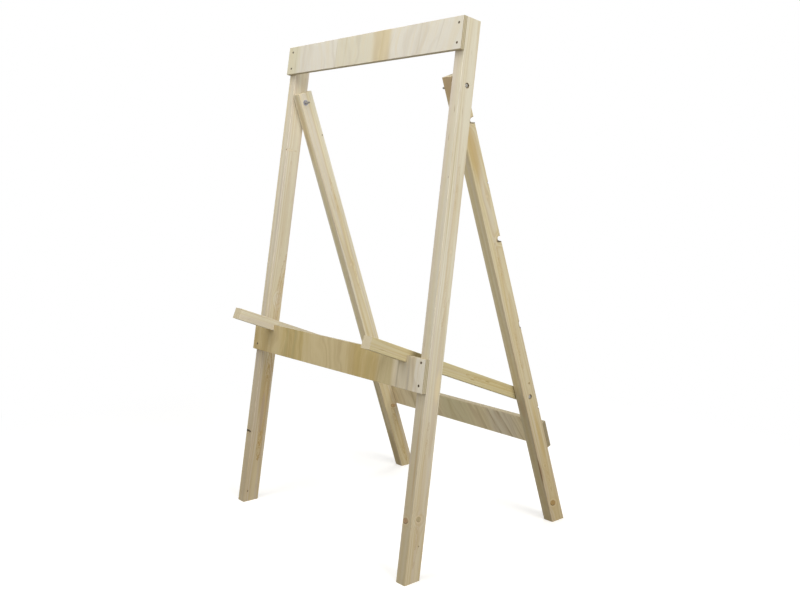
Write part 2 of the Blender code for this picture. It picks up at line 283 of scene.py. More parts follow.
sawnWood = {
    "early": (229, 223, 205),
    "straw": (222, 211, 178),
    "rosy": (216, 206, 192),
    "late": (203, 183, 143),
    "streak": (176, 154, 114),
    # figure: how fine across and along the grain, detail, roughness, where it starts, where full, strength
    "stripes": (42, 0.6, 3, 0.55, 0.44, 0.66, 0.85),
    "threads": (330, 3.5, 2, 0.55, 0.50, 0.72, 0.30),
    "dashes": (300, 16, 1, 0.5, 0.72, 0.80, 0.55),
    "fibres": (1500, 22, 2, 0.6, 0.35, 0.75, 0.14),
    "foot": (231, 224, 211),           # what the foot is multiplied by: painted shade, darker towards the floor
    "footHeight": 1.1,
    "ringWidth": 0.0036,
    "wander": 0.012,                   # how far the rings stray along the length
    "knotDepth": 0.030,                # how deep a knot reaches in from its face
    "halo": (240, 226, 196),
    "tongueDepth": 0.012,
    "tongue": (210, 188, 136),
    "tongueRing": (184, 152, 94),
    "tongueLines": (1.0, 0.74, 1.34),  # where its rings lie, 1 being its rim
    "markDepth": 0.010,
    # painted shade, near black, for the inside of torn hollows
    "gloom": (18, 12, 7),
    # tornDeep: dark torn wood, and the tone of the painted shade on a torn spot's lip
    "tornDeep": (44, 32, 22),
    "tornFace": (104, 80, 50),
    "tornRim": (140, 110, 72),
    "tornReach": 0.024,                # how far along the grain swells beside a torn spot
    "tornSwell": 0.010,                # and how far aside
    # painted shade for a bolt head's recess and its rim
    "recess": (168, 146, 108),
    "recessRadius": 0.010,
    "endGrain": (218, 207, 178),
    "endRing": (192, 172, 132),
    "bump": (0.35, 0.0004),            # strength and depth
    "gloss": 0.35,
}

lowered, leftward = (0, -1), (-1, -0.3)    # which side of a knot gets its dark arc of painted shade: across, along

# Along is measured from a post's foot, and for legs and arms from their pivot.
# seed: which stretch of the figure the piece shows
# pith: where the middle of the tree was, from the piece's own middle
# warm: what the wood's colour is multiplied by, the piece's own tone; above 255, as on rear_leg_left, it is
# painted light making up for the lamps lighting it less
# knots: face, across, along, half width, half length, turn in degrees, heart, shadeCrescent (the side of its
# painted shade), how solid
# marks: face, across, along, half width, half length, tone, softness; the ones noted are painted shade or
# shadow, the rest stains
# tongues, where a growth ring runs out: face, across, along, half width, half length, how plain
# edge: the long edge that knots fell out of
# torn: along, inset from the edge, height, reach across X, reach across Y, gloom (how far painted shade
# darkens it to near black)
# recess: the side that a bolt's head is sunk in, and that bolt's pivot
timbers = {
    "post_left": {
        "seed": 3.1, "pith": (-0.062, 0.008), "lean": postLean, "zero": postFoot, "warm": (254, 253, 251),
        "knots": (
            ("+x", -0.0216, 0.045, 0.0026, 0.0036, 0, (84, 66, 46), lowered, 0.9),
            ("-y", 0.0185, 1.504, 0.0030, 0.0034, 0, (120, 98, 70), lowered, 0.9),
            ("+y", 0.0040, 0.860, 0.0090, 0.0104, 0, (172, 124, 84), lowered, 0.9),
        ),
        "marks": (
            ("+x", 0.0030, 0.372, 0.0080, 0.085, (196, 176, 156), 0.10),
            ("+x", -0.0120, 0.480, 0.0060, 0.130, (200, 180, 132), 0.35),
            ("-y", -0.0080, 0.620, 0.0060, 0.090, (200, 188, 178), 0.60),
            ("-y", 0.0120, 1.240, 0.0040, 0.200, (198, 188, 176), 0.60),
        ),
        "tongues": (
            ("+x", 0.0085, 0.406, 0.0130, 0.173, 0.9), ("+x", 0.0380, 0.800, 0.0270, 0.190, 0.5),
            ("+x", -0.0040, 1.250, 0.0090, 0.160, 0.2),
        ),
        "edge": (-1, -1), "torn": ((0.292, 0.0148, 0.0072, 0.0136, 0.016, 1.0),),
        "recess": (-1, hinge),
    },
    "post_right": {
        "seed": 8.4, "pith": (-0.058, 0.012), "lean": postLean, "zero": postFoot, "warm": (254, 255, 256),
        "knots": (
            ("-y", -0.0075, 0.209, 0.0117, 0.0095, 20, (190, 150, 116), lowered, 0.85),
            ("+x", -0.0025, 0.218, 0.0105, 0.0085, -30, (168, 154, 106), lowered, 0.5),
            ("+x", 0.0115, 0.126, 0.0022, 0.0025, 0, (112, 94, 68), lowered, 0.9),
            ("-x", 0.0100, 1.130, 0.0080, 0.0092, 0, (168, 122, 80), leftward, 0.9),
        ),
        "marks": (
            ("-y", 0.0080, 1.625, 0.0009, 0.014, (146, 118, 84), 0.30),
            ("-y", -0.0060, 1.525, 0.0009, 0.013, (150, 122, 88), 0.30),
            ("-y", 0.0140, 1.385, 0.0012, 0.004, (140, 112, 80), 0.30),
            ("+x", -0.0220, 1.380, 0.0030, 0.260, (198, 182, 138), 0.60),
            ("+x", 0.0180, 0.660, 0.0110, 0.050, (232, 216, 178), 0.50),
            ("-y", 0.0100, 0.420, 0.0050, 0.160, (206, 184, 146), 0.60),
        ),
        "tongues": (("+x", -0.0040, 0.300, 0.0110, 0.180, 0.3), ("+x", 0.0060, 1.150, 0.0100, 0.210, 0.3)),
        "torn": (),
        "recess": (1, hinge),
    },
    "rear_leg_left": {
        "seed": 5.7, "pith": (-0.055, -0.014), "lean": legLean, "zero": hinge, "warm": (272, 273, 270),
        "knots": (
            ("+x", 0.0120, -1.500, 0.0150, 0.0085, -33, (200, 150, 92), leftward, 0.55),
            ("+x", 0.0290, -0.157, 0.0028, 0.0032, 0, (100, 82, 58), lowered, 0.9),
            ("-x", -0.0080, -0.760, 0.0085, 0.0098, 0, (170, 124, 80), lowered, 0.9),
        ),
        "marks": (
            ("+x", -0.0180, -1.150, 0.0050, 0.300, (204, 186, 142), 0.60),
            # painted shadow under the arm
            ("+x", 0.0000, -1.305, 0.0300, 0.050, (166, 148, 98), 0.50),
            # painted shade on the front face between post and leg
            ("-y", -0.0040, -0.090, 0.0130, 0.150, (184, 166, 132), 0.60),
            ("-y", 0.0000, -1.720, 0.0200, 0.100, (176, 160, 126), 0.60),
            ("-y", -0.0100, -1.480, 0.0040, 0.200, (176, 162, 128), 0.60),
        ),
        "tongues": (("+x", 0.0020, -1.650, 0.0120, 0.110, 0.6), ("+x", 0.0050, -0.620, 0.0100, 0.200, 0.4)),
        "torn": (),
        "recess": (-1, armPivot),
    },
    "rear_leg_right": {
        "seed": 12.6, "pith": (-0.066, 0.006), "lean": legLean, "zero": hinge, "warm": (249, 247, 238),
        "knots": (
            ("+x", -0.0068, -1.734, 0.0165, 0.0108, -40, (178, 142, 78), lowered, 0.9),
            ("+x", 0.0120, -1.195, 0.0060, 0.0046, -40, (180, 158, 116), lowered, 0.9),
            ("+x", -0.0030, -1.560, 0.0080, 0.0046, -37, (214, 196, 150), lowered, 0.5),
            ("-x", 0.0100, -0.420, 0.0080, 0.0092, 0, (168, 124, 82), lowered, 0.9),
        ),
        "marks": (
            # painted shadow of the post on the leg's outer face
            ("+x", -0.0080, -0.240, 0.0220, 0.110, (198, 172, 116), 0.50),
            ("-y", 0.0000, 0.010, 0.0300, 0.070, (190, 162, 124), 0.50),
            ("-y", 0.0190, -1.570, 0.0035, 0.060, (142, 110, 72), 0.40),
            # painted shadow of the arm
            ("-y", 0.0020, -1.290, 0.0120, 0.040, (212, 192, 164), 0.50),
            ("+x", 0.0040, -1.400, 0.0060, 0.150, (210, 190, 142), 0.60),
        ),
        "tongues": (("+x", -0.0040, -0.860, 0.0110, 0.200, 0.4), ("+x", 0.0030, -1.520, 0.0100, 0.120, 0.5)),
        "edge": (1, 1),
        "torn": (
            (-0.133, 0.0, 0.021, 0.025, 0.022, 0.2), (-0.374, 0.0, 0.007, 0.006, 0.005, 0.9),
            (-0.595, 0.0, 0.019, 0.022, 0.019, 0.3), (-0.950, 0.0, 0.026, 0.008, 0.006, 0.6),
            (-1.313, 0.0, 0.011, 0.006, 0.005, 0.7),
        ),
        "recess": (1, armPivot),
    },
    "arm_left": {
        "seed": 17.3, "pith": (-0.030, 0.055), "lean": armLean, "zero": armPivot, "warm": (255, 255, 251),
        "knots": (("+y", -0.0040, 0.300, 0.0060, 0.0070, 0, (176, 134, 88), lowered, 0.9),),
        "marks": (),
        "tongues": (("-x", 0.0020, 0.420, 0.0080, 0.120, 0.4),),
        "torn": (),
        "recess": None,
    },
    "arm_right": {
        "seed": 21.9, "pith": (-0.052, 0.020), "lean": armLean, "zero": armPivot, "warm": (236, 231, 202),
        "knots": (("+y", 0.0060, 0.480, 0.0050, 0.0058, 0, (176, 136, 92), lowered, 0.9),),
        "marks": (
            ("+x", -0.0060, 0.300, 0.0016, 0.012, (176, 148, 98), 0.50),
            ("+x", 0.0050, 0.215, 0.0020, 0.012, (172, 146, 96), 0.50),
        ),
        "tongues": (("+x", 0.0040, 0.180, 0.0080, 0.120, 0.4),),
        "torn": (),
        "recess": None,
    },
}


class SawnLook(WoodLook):              # the look of one post, leg or arm
    def __init__(self, name, wood, timber):
        super().__init__(name, pieceFrame(name, timber["lean"], timber["zero"]))
        self.wood = wood
        self.timber = timber
        self.ragged = self.noise(self.local, 140, 2) - 0.5
        self.flowX, self.flowY = self.x, self.y    # where the grain is read from

    def raggedLength(self, vector):
        return self.length(vector) + self.ragged * 0.3

    def egg(self, face, across, along, reach, wide, tall, turn=0):    # how far from a spot, 1 at its rim
        side = 1 if face[0] == "+" else -1
        angle = math.radians(turn)
        if face[1] == "x":
            spot, tip, radii = (side * self.half.x, across, along), (angle, 0, 0), (reach, wide, tall)
        else:
            spot, tip, radii = (across, side * self.half.y, along), (0, -angle, 0), (wide, reach, tall)
        vector = self.placed(spot, tip, radii, self.local)
        return vector, self.raggedLength(vector)

    def partRoundKnots(self):          # the grain parts round each knot
        knots = []
        for face, across, along, wide, tall, turn, heart, shadeCrescent, solid in self.timber["knots"]:
            vector, distance = self.egg(face, across, along, self.wood["knotDepth"], wide, tall, turn)
            push = (distance * distance * -0.16).maths("EXPONENT") * 0.62
            inX, inY, inZ = self.parts(vector)
            if face[1] == "x":
                self.flowY = self.flowY - (self.flowY - across) * push
                knots.append((distance, inY, inZ, heart, shadeCrescent, solid))
            else:
                self.flowX = self.flowX - (self.flowX - across) * push
                knots.append((distance, inX, inZ, heart, shadeCrescent, solid))
        return knots

    def partRoundTorn(self):           # and round each spot torn out of an edge
        torn = []
        for along, inset, height, reachX, reachY, gloom in self.timber["torn"]:
            edgeX, edgeY = self.timber["edge"]
            corner = (edgeX * (self.half.x - inset), edgeY * self.half.y, along)
            vector = self.placed(corner, (0, 0, 0), (reachX, reachY, height / 2), self.local)
            radii = (reachX * 1.2, reachY * 1.4, self.wood["tornReach"])
            wide = self.length(self.placed(corner, (0, 0, 0), radii, self.local))
            torn.append((self.raggedLength(vector), wide, self.parts(vector)[2], gloom))
            swell = (wide * wide * -1.1).maths("EXPONENT")
            self.flowX = self.flowX + swell * (self.wood["tornSwell"] * edgeX)
        return torn

    def readRings(self):               # growth rings round the pith
        wood, seed = self.wood, self.timber["seed"]
        drift = self.grain(self.x * 5, self.y * 5, self.z * 1.1 + seed, 1.5, 0.5, "Color")
        driftX, driftY = self.parts(drift)[:2]
        wander = 2 * wood["wander"]
        pithX, pithY = self.timber["pith"]
        fromPithX = self.flowX - pithX + (driftX - 0.5) * wander
        fromPithY = self.flowY - pithY + (driftY - 0.5) * wander
        depth = diagonal(fromPithX, fromPithY)
        self.years = self.grain(depth * 70, self.z * 0.25 + seed, 0.0, 3, 0.6)
        step = (depth / wood["ringWidth"] + self.years * 1.2).maths("FRACT")
        self.late = step.band(0.25, 0.88, 0.93, 1.0)

    def paintFigure(self, kind, shade, offset):
        across, along, detail, roughness, start, full, strength = self.wood[kind]
        x, y, z = self.flowX * across, self.flowY * across, self.z * along + offset
        figure = self.grain(x, y, z, detail, roughness)
        self.paint(figure.rise(start, full) * strength, shade)
        return figure

    def paintGrain(self):
        wood, seed = self.wood, self.timber["seed"]
        self.colour = tone(*wood["early"])
        self.paint(self.years.rise(0.32, 0.68), wood["straw"])
        self.paintFigure("stripes", wood["rosy"], seed)
        self.paint(self.late * (self.years.rise(0.2, 0.8) * 0.35 + 0.25), wood["late"])
        self.paintFigure("threads", wood["late"], seed)
        self.paintFigure("dashes", wood["streak"], seed)
        self.fibres = self.paintFigure("fibres", wood["streak"], 0)

    def paintTongues(self):
        wood = self.wood
        for face, across, along, wide, tall, plain in self.timber["tongues"]:
            distance = self.egg(face, across, along, wood["tongueDepth"], wide, tall)[1] + self.ragged * 0.1
            self.paint(distance.rise(1.36, 0.95) * (plain * 0.6), wood["tongue"])
            for line in wood["tongueLines"]:
                ring = distance.band(line - 0.16, line, line, line + 0.035)
                self.paint(ring * plain, wood["tongueRing"])

    def paintMarks(self):
        for face, across, along, wide, tall, stain, soft in self.timber["marks"]:
            distance = self.egg(face, across, along, self.wood["markDepth"], wide, tall)[1]
            self.paint(distance.rise(1 + soft, 1 - soft) * 0.75, stain)

    def paintKnots(self, knots):
        for distance, sideways, lengthwise, heart, shadeCrescent, solid in knots:
            around, inside = distance.rise(3.0, 1.0), distance.rise(1.05, 0.88)
            halo, rim = distance.band(1.00, 1.25, 1.35, 1.80), distance.band(0.70, 0.96, 1.0, 1.20)
            swirl = (distance * 17).maths("SINE").rise(-1.0, 1.0)
            shaded = (sideways * shadeCrescent[0] + lengthwise * shadeCrescent[1]).rise(-0.1, 0.9)
            fromCrack = abs(sideways * 0.8 + lengthwise * 0.35 + self.ragged * 0.3)
            crack = fromCrack.rise(0.07, 0.02) * distance.rise(0.85, 0.6)
            deep = [part * 0.55 for part in heart]
            self.paint(around * 0.25, self.wood["late"])
            self.paint(halo * 0.40, self.wood["halo"])
            self.paint(inside * (swirl * 0.28 + 0.68) * solid, heart)
            # the knot's rim: a little dark all round, and darker on its shadeCrescent side as painted shade
            self.paint(rim * (shaded * 0.75 + 0.15) * solid, deep)
            self.paint(crack * 0.6, deep)

    def paintTorn(self, torn):         # gives back how rough the torn hollows are
        wood = self.wood
        inside = (self.half.x - abs(self.x)).maths("MINIMUM", self.half.y - abs(self.y))
        below = inside.rise(0.0003, 0.0009)
        crumbs = self.noise(self.local, 420, 3, 0.65)
        crumbled = self.mixed(crumbs.rise(0.42, 0.66), tone(*wood["tornDeep"]), tone(*wood["tornFace"]))
        hollows = 0.0
        for distance, wide, lengthwise, gloom in torn:
            rings = (wide * 15).maths("SINE").rise(-0.6, 1.0)
            self.paint(wide.rise(1.7, 0.5) * rings * 0.55, wood["late"])
            self.paint(distance.rise(1.5, 1.12) * 0.45, wood["tornRim"])
            # painted shade: the lip darkened on its lower side, and all round as far as gloom goes
            lip = distance.rise(1.35 + gloom * 0.2, 1.10 + gloom * 0.2)
            lipShade = lengthwise.rise(0.3, -0.6).maths("MAXIMUM", gloom)
            self.paint(lip * lipShade * 0.85, wood["tornDeep"])
            # inside the hollow: dark torn wood, darkened towards near black by painted shade as far as gloom
            # goes
            hollow = below * distance.rise(1.35, 1.20)
            hollows = hollow + hollows
            self.paint(hollow, self.mixed(gloom, crumbled, tone(*wood["gloom"])))
        return hollows * crumbs

    def paintRecessShade(self):             # painted shade on the wood inside a bolt head's recess and round its rim
        side, pivot = self.timber["recess"]
        across, along = pivotPlace(self.place, pivot)
        fromBolt = diagonal(self.y - across, self.z - along)
        reach = self.wood["recessRadius"]
        sunk = (self.half.x - self.x * side).rise(0.0003, 0.0010)
        self.paint(fromBolt.rise(reach * 1.08, reach * 1.02) * sunk * 0.85, self.wood["recess"])
        self.paint(fromBolt.band(reach * 0.9, reach, reach, reach * 1.10) * 0.5, self.wood["recess"])

    def paintEnds(self):               # gives back how rough the sawn ends are
        wood = self.wood
        cutEnd = self.facing()[1].rise(0.70, 0.85)
        speckle = self.noise(self.local, 1100, 2, 0.6)
        endGrain = self.mixed(self.late * 0.65, tone(*wood["endGrain"]), tone(*wood["endRing"]))
        endGrain = self.mixed(speckle.rise(0.4, 0.75) * 0.35, endGrain, tone(*wood["endRing"]))
        self.paint(cutEnd, endGrain)
        return cutEnd * speckle


def sawnLook(name, wood, timber):
    look = SawnLook(name, wood, timber)
    knots = look.partRoundKnots()
    torn = look.partRoundTorn()
    look.readRings()
    look.paintGrain()
    look.paintTongues()
    look.paintMarks()
    look.paintKnots(knots)
    hollows = look.paintTorn(torn)
    if timber["recess"]:
        look.paintRecessShade()
    # each piece's own tone, and on rear_leg_left painted light that brightens it
    look.paint(1.0, timber["warm"], "MULTIPLY")
    ends = look.paintEnds()
    if timber["lean"] != armLean:      # painted shade: posts and legs darker and browner towards the floor, where less light falls
        up = look.z - look.place["low"]
        look.paint(up.rise(wood["footHeight"], 0.0), wood["foot"], "MULTIPLY")
    height = look.late * 0.35 + look.fibres * 0.65 + ends + hollows * 6
    rough = look.late * 0.08 + look.fibres * 0.10 + 0.60
    return look.dress(wood, height, rough)


for name, timber in timbers.items():
    wear(name, sawnLook(name, sawnWood, timber))
print("sawn timbers grained")

plyWood = {
    "straw": (214, 198, 158),
    "rosy": (214, 203, 190),
    "dark": (186, 166, 126),
    "ply": 0.0036,                     # thickness of one layer
    "glue": (104, 88, 60),
    "longPly": (206, 195, 165),
    "crossPly": (172, 159, 128),
    "bump": (0.3, 0.0004),             # strength and depth
    "gloss": 0.35,
}

# slant: degrees that the grain leans at the board's middle
# bend: how many more it leans about half a metre to the right
# pale: the veneer's own tone; contrast: how strong its figure is
# ends: what the layers at the board's two ends are multiplied by, painted shade that darkens them
# strips: where veneers change along the board: from, to, softness, tone
# streaks: place, half width, slant in degrees, tone
boards = {
    "top_board": {
        "seed": 2.3, "lean": postLean, "slant": 2, "bend": 16, "pale": (219, 214, 201), "contrast": 0.8,
        "ends": (255, 255, 255),
        "strips": (
            (-0.60, -0.450, 0.020, (212, 206, 181)),
            (-0.185, 0.060, 0.002, (213, 207, 187)),
            (0.050, 0.148, 0.018, (208, 194, 161)),
        ),
        "streaks": (
            (-0.470, 0.0030, 1, (192, 181, 144)), (-0.185, 0.0020, 1, (186, 174, 146)),
            (-0.130, 0.0040, 3, (194, 182, 146)), (0.100, 0.0080, 0, (196, 179, 138)),
            (0.310, 0.0030, 8, (196, 186, 164)), (0.415, 0.0030, 14, (196, 186, 164)),
        ),
    },
    "front_board": {
        "seed": 9.1, "lean": postLean, "slant": 0, "bend": 4, "pale": (207, 189, 144), "contrast": 1.3,
        "ends": (248, 248, 248),
        "strips": (
            (-0.60, -0.400, 0.040, (194, 172, 120)),
            (-0.330, -0.160, 0.040, (192, 171, 114)),
            (0.120, 0.300, 0.050, (196, 173, 115)),
            (0.290, 0.370, 0.020, (196, 181, 138)),
            (0.370, 0.478, 0.014, (226, 215, 190)),
            # the right end: pale veneer, brightened further by painted light
            (0.478, 0.600, 0.008, (236, 229, 214)),
        ),
        "streaks": (
            (-0.235, 0.0080, 3, (170, 158, 112)), (-0.290, 0.0070, 3, (178, 166, 118)),
            (0.175, 0.0110, 0, (188, 166, 104)), (0.235, 0.0120, 2, (184, 164, 108)),
            (0.395, 0.0040, 1, (176, 164, 138)), (0.450, 0.0050, 1, (180, 168, 152)),
        ),
    },
    "rear_board": {
        "seed": 14.8, "lean": legLean, "slant": -14, "bend": -14, "pale": (238, 224, 188), "contrast": 1.5,
        "ends": (204, 199, 190),
        "strips": (
            (-0.60, -0.240, 0.060, (250, 236, 202)),
            (-0.120, 0.080, 0.050, (226, 216, 178)),
            (0.180, 0.330, 0.040, (236, 226, 202)),
        ),
        "streaks": (
            (-0.300, 0.0090, -4, (196, 178, 132)), (-0.050, 0.0100, -2, (204, 190, 144)),
            (0.130, 0.0060, -20, (184, 164, 120)), (0.205, 0.0060, -26, (176, 154, 112)),
            (0.265, 0.0050, -28, (170, 148, 106)), (0.330, 0.0060, -28, (186, 166, 122)),
            (0.390, 0.0050, -30, (178, 156, 112)),
        ),
    },
}


def peeledLook(name, wood, board):     # plywood whose face grain runs across the board
    look = WoodLook(name, pieceFrame(name, board["lean"]))
    x, y, z = look.x, look.y, look.z
    seed = board["seed"]
    bend, slant = math.tan(math.radians(board["bend"])), math.tan(math.radians(board["slant"]))
    along = x - z * (x * bend * 2 + slant)

    drift = look.grain(along * 6, z * 5 + seed, 0.0, 2, 0.5) - 0.5
    fine = look.grain(along * 150 + drift * 3, seed, z * 6, 3, 0.6)
    broad = look.grain(along * 22 + drift * 4, seed, z * 2, 2, 0.55)
    fibres = look.grain(x * 1500, y * 1500, z * 40, 2, 0.6)

    look.colour = tone(*board["pale"])
    wavy = x + drift * 0.004
    for start, end, soft, shade in board["strips"]:
        look.paint(wavy.band(start - soft, start + soft, end - soft, end + soft), shade)
    contrast = board["contrast"]
    look.paint(broad.rise(0.46, 0.68) * (0.35 * contrast), wood["rosy"], "MULTIPLY")
    look.paint(broad.rise(0.50, 0.30) * (0.30 * contrast), wood["straw"])
    look.paint(fine.rise(0.46, 0.70) * (0.35 * contrast), wood["straw"])
    for at, width, lean, shade in board["streaks"]:
        away = abs(x - at - z * math.tan(math.radians(lean)) + drift * 0.010) / width
        look.paint(away.rise(2.2, 0.0) * fine.rise(0.25, 0.70) * 0.75, shade)
    look.paint(fibres.rise(0.35, 0.75) * 0.12, wood["dark"])

    layer = (y + look.half.y) / wood["ply"]        # the layers, on every edge of the board
    odd = (layer * 0.5).maths("FRACT").rise(0.495, 0.505)
    within = layer.maths("FRACT")
    glue = within.rise(0.10, 0.0) + within.rise(0.90, 1.0)
    grits = look.grain(x * 50, y * 900, z * 50, 2, 0.6)
    acrossFace, alongFace = look.facing()
    layers = look.mixed(odd, tone(*wood["crossPly"]), tone(*wood["longPly"]))
    layers = look.mixed(grits.rise(0.35, 0.8) * 0.3, layers, tone(*wood["dark"]))
    layers = look.mixed(glue * 0.35, layers, tone(*wood["glue"]))
    # painted shade on the layers at the board's two ends
    layers = look.mixed((acrossFace + alongFace).rise(0.5, 0.2), layers, tone(*board["ends"]), "MULTIPLY")
    edges = acrossFace.rise(0.8, 0.6)
    look.paint(edges, layers)
    height = fine * 0.4 + fibres * 0.5 - edges * glue * 0.6
    return look.dress(wood, height, fibres * 0.12 + 0.62)


for name, board in boards.items():
    wear(name, peeledLook(name, plyWood, board))
print("boards grained")


# bolts, nuts, washers and screws

steelTones = {
    "bolt_steel": {"bright": (178, 175, 168), "dull": (144, 141, 135), "metal": 0.6, "rough": 0.46},
    "washer_steel": {"bright": (178, 177, 186), "dull": (146, 145, 154), "metal": 0.9, "rough": 0.40},
    "screw_steel": {"bright": (104, 88, 66), "dull": (66, 54, 40), "metal": 1.0, "rough": 0.42},
}


def steelLook(name, steel):
    look = Look(name)
    blotches = look.noise(look.spot, 160, 3, 0.6)
    scratches = look.noise(look.spot, 1400, 2, 0.6)
    colour = look.mixed(blotches.rise(0.35, 0.65), tone(*steel["bright"]), tone(*steel["dull"]))
    rough = steel["rough"] + blotches * 0.15 + scratches * 0.08
    normal = look.bump(scratches, 0.15, 0.0001)
    return look.finish(Base_Color=colour, Roughness=rough, Metallic=steel["metal"], Normal=normal)


steels = {name: steelLook(name, steel) for name, steel in steelTones.items()}


def toObject(name, shape):             # a bmesh as an object with its place in its mesh
    bmesh.ops.remove_doubles(shape, verts=shape.verts, dist=1e-6)
    bmesh.ops.recalc_face_normals(shape, faces=shape.faces)
    mesh = bpy.data.meshes.new(name)
    shape.to_mesh(mesh)
    shape.free()
    mesh.shade_smooth()
    mesh.set_sharp_from_angle(angle=math.radians(32))
    made = bpy.data.objects.new(name, mesh)
    bpy.context.scene.collection.objects.link(made)
    return made


fineTurn, plainTurn = 48, 32           # steps round a turned shape


def turned(shape, profile, steps):     # spins a profile of (radius, height) about Z
    points = [shape.verts.new((radius, 0, height)) for radius, height in profile]
    edges = [shape.edges.new(pair) for pair in zip(points, points[1:])]
    bmesh.ops.spin(
        shape, geom=points + edges, cent=(0, 0, 0), axis=(0, 0, 1),
        angle=2 * math.pi, steps=steps, use_merge=True,
    )


def wound(shape, profile, closed, turns, pitch, steps):    # the same, rising by a pitch each turn
    points = [shape.verts.new((radius, 0, height)) for radius, height in profile]
    after = points[1:] + points[:1] if closed else points[1:]
    edges = [shape.edges.new(pair) for pair in zip(points, after)]
    bmesh.ops.spin(
        shape, geom=points + edges, cent=(0, 0, 0), axis=(0, 0, 1), angle=2 * math.pi * turns,
        steps=steps * turns, dvec=(0, 0, pitch / steps), use_merge=False,
    )


def cutWith(piece, other, how):        # applies a Boolean with another object, which is used up
    boolean = piece.modifiers.new("cut", "BOOLEAN")
    boolean.operation = how
    boolean.solver = "EXACT"
    boolean.object = other
    graph = bpy.context.evaluated_depsgraph_get()
    mesh = bpy.data.meshes.new_from_object(piece.evaluated_get(graph))
    piece.modifiers.remove(boolean)
    piece.data = mesh
    bpy.data.objects.remove(other, do_unlink=True)


hexagonShape = {
    "flats": 0.013,
    "face": 0.95,                      # the round flat on its end, as a share of the flats
    "chamfer": 28,                     # degrees, of the cone that rounds the corners off
}


def hexBlock(name, low, high, bothEnds, hexagon):
    shape = bmesh.new()
    radius = hexagon["flats"] / math.sqrt(3)
    bmesh.ops.create_cone(
        shape, cap_ends=True, segments=6, radius1=radius, radius2=radius, depth=high - low,
        matrix=Matrix.Translation((0, 0, (low + high) / 2)),
    )
    block = toObject(name, shape)
    flat = hexagon["flats"] / 2 * hexagon["face"]
    wide = radius * 1.2                # past its corners
    fall = (wide - flat) * math.tan(math.radians(hexagon["chamfer"]))
    top = [(wide, high - fall), (flat, high)] if bothEnds else [(wide, high)]
    lens = bmesh.new()
    turned(lens, [(0, low), (flat, low), (wide, low + fall), *top, (0, high)], fineTurn)
    cutWith(block, toObject(name + "Lens", lens), "INTERSECT")
    return block


threadShape = {
    "radius": 0.004,
    "pitch": 0.00125,
    "depth": 0.00072,
    "steps": 24,                       # round each turn
    "past": 0.001,                     # how far its cutter starts before it
}


def threadedRod(name, start, end, thread):
    shape = bmesh.new()
    outer, inner = thread["radius"], thread["radius"] - thread["depth"]
    pitch = thread["pitch"]
    first = start - pitch
    turns = math.ceil((end - first) / pitch) + 1
    tooth = ((inner, 0.0), (inner, 0.12), (outer, 0.44), (outer, 0.56), (inner, 0.88), (inner, 1.0))
    profile = [(radius, first + share * pitch) for radius, share in tooth]
    wound(shape, profile, False, turns, pitch, thread["steps"])
    bmesh.ops.remove_doubles(shape, verts=shape.verts, dist=pitch / 50)
    for height, way in ((start, -1), (end, 1)):
        found = bmesh.ops.bisect_plane(
            shape, geom=shape.verts[:] + shape.edges[:] + shape.faces[:],
            plane_co=(0, 0, height), plane_no=(0, 0, way), clear_outer=True,
        )
        rim = [item for item in found["geom_cut"] if isinstance(item, bmesh.types.BMEdge)]
        bmesh.ops.edgeloop_fill(shape, edges=rim)
    rod = toObject(name, shape)
    point = bmesh.new()                # a cone that rounds off the thread's end
    slope = thread["depth"] * 1.1
    wide = outer * 1.2
    before = start - thread["past"]
    turned(point, [
        (0, before), (wide, before), (wide, end - slope), (outer - slope, end), (0, end),
    ], fineTurn)
    cutWith(rod, toObject(name + "Point", point), "INTERSECT")
    return rod


def joinPieces(name, pieces):          # one object from several closed shapes
    shape = bmesh.new()
    for piece in pieces:
        shape.from_mesh(piece.data)
        bpy.data.objects.remove(piece, do_unlink=True)
    return toObject(name, shape)


def alongX(side, outerX, y, z):        # puts a piece's +Z along X, towards the stand's middle
    turn = Matrix.Rotation(-side * math.pi / 2, 4, "Y")
    return Matrix.Translation((outerX, y, z)) @ turn


def settle(piece, matrix, node, slot): # puts a finished piece in its node's place
    piece.data.transform(matrix)
    wear(piece.name, steels[slot])
    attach(piece, nodes[node]["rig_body"])
    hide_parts(node)


boltShape = {
    "headHeight": 0.0053,
    "radius": 0.004,
    "threadLength": 0.028,
    "underHead": 0.0007,               # the rounded corner under the head
    "inHead": 0.002,                   # how far the shank reaches into the head
    "runOut": 0.0008,                  # the cone where the shank ends
    "lap": 0.0005,                     # how far the thread reaches into the shank
}


def makeBolt(name, length, bolt):      # its head's top at Z 0
    neck = bolt["headHeight"]
    head = hexBlock(name + "Head", 0, neck, False, hexagonShape)
    shape = bmesh.new()
    radius, corner, runOut = bolt["radius"], bolt["underHead"], bolt["runOut"]
    shoulder = length - bolt["threadLength"]
    turned(shape, [
        (0, neck - bolt["inHead"]), (radius + corner, neck - bolt["inHead"]), (radius + corner, neck),
        (radius + corner * 0.3, neck + corner * 0.3), (radius, neck + corner),
        (radius, shoulder - runOut), (radius - runOut, shoulder), (0, shoulder),
    ], plainTurn)
    shank = toObject(name + "Shank", shape)
    thread = threadedRod(name + "Thread", shoulder - bolt["lap"], length, threadShape)
    return joinPieces(name, [head, shank, thread])


ringShape = {
    "hole": 0.0043,
    "washerEase": 0.0003,
    "spacerEase": 0.0002,
}


def makeRing(name, hole, rim, thickness, ease):
    shape = bmesh.new()
    turned(shape, [
        (hole, ease), (hole + ease, 0), (rim - ease, 0), (rim, ease),
        (rim, thickness - ease), (rim - ease, thickness), (hole + ease, thickness),
        (hole, thickness - ease), (hole, ease),
    ], fineTurn)
    return toObject(name, shape)


nutShape = {
    "hole": 0.0043,
    "flare": 0.0006,                   # how far the hole widens at both ends
    "past": 0.001,                     # how far its cutter reaches past the nut
}


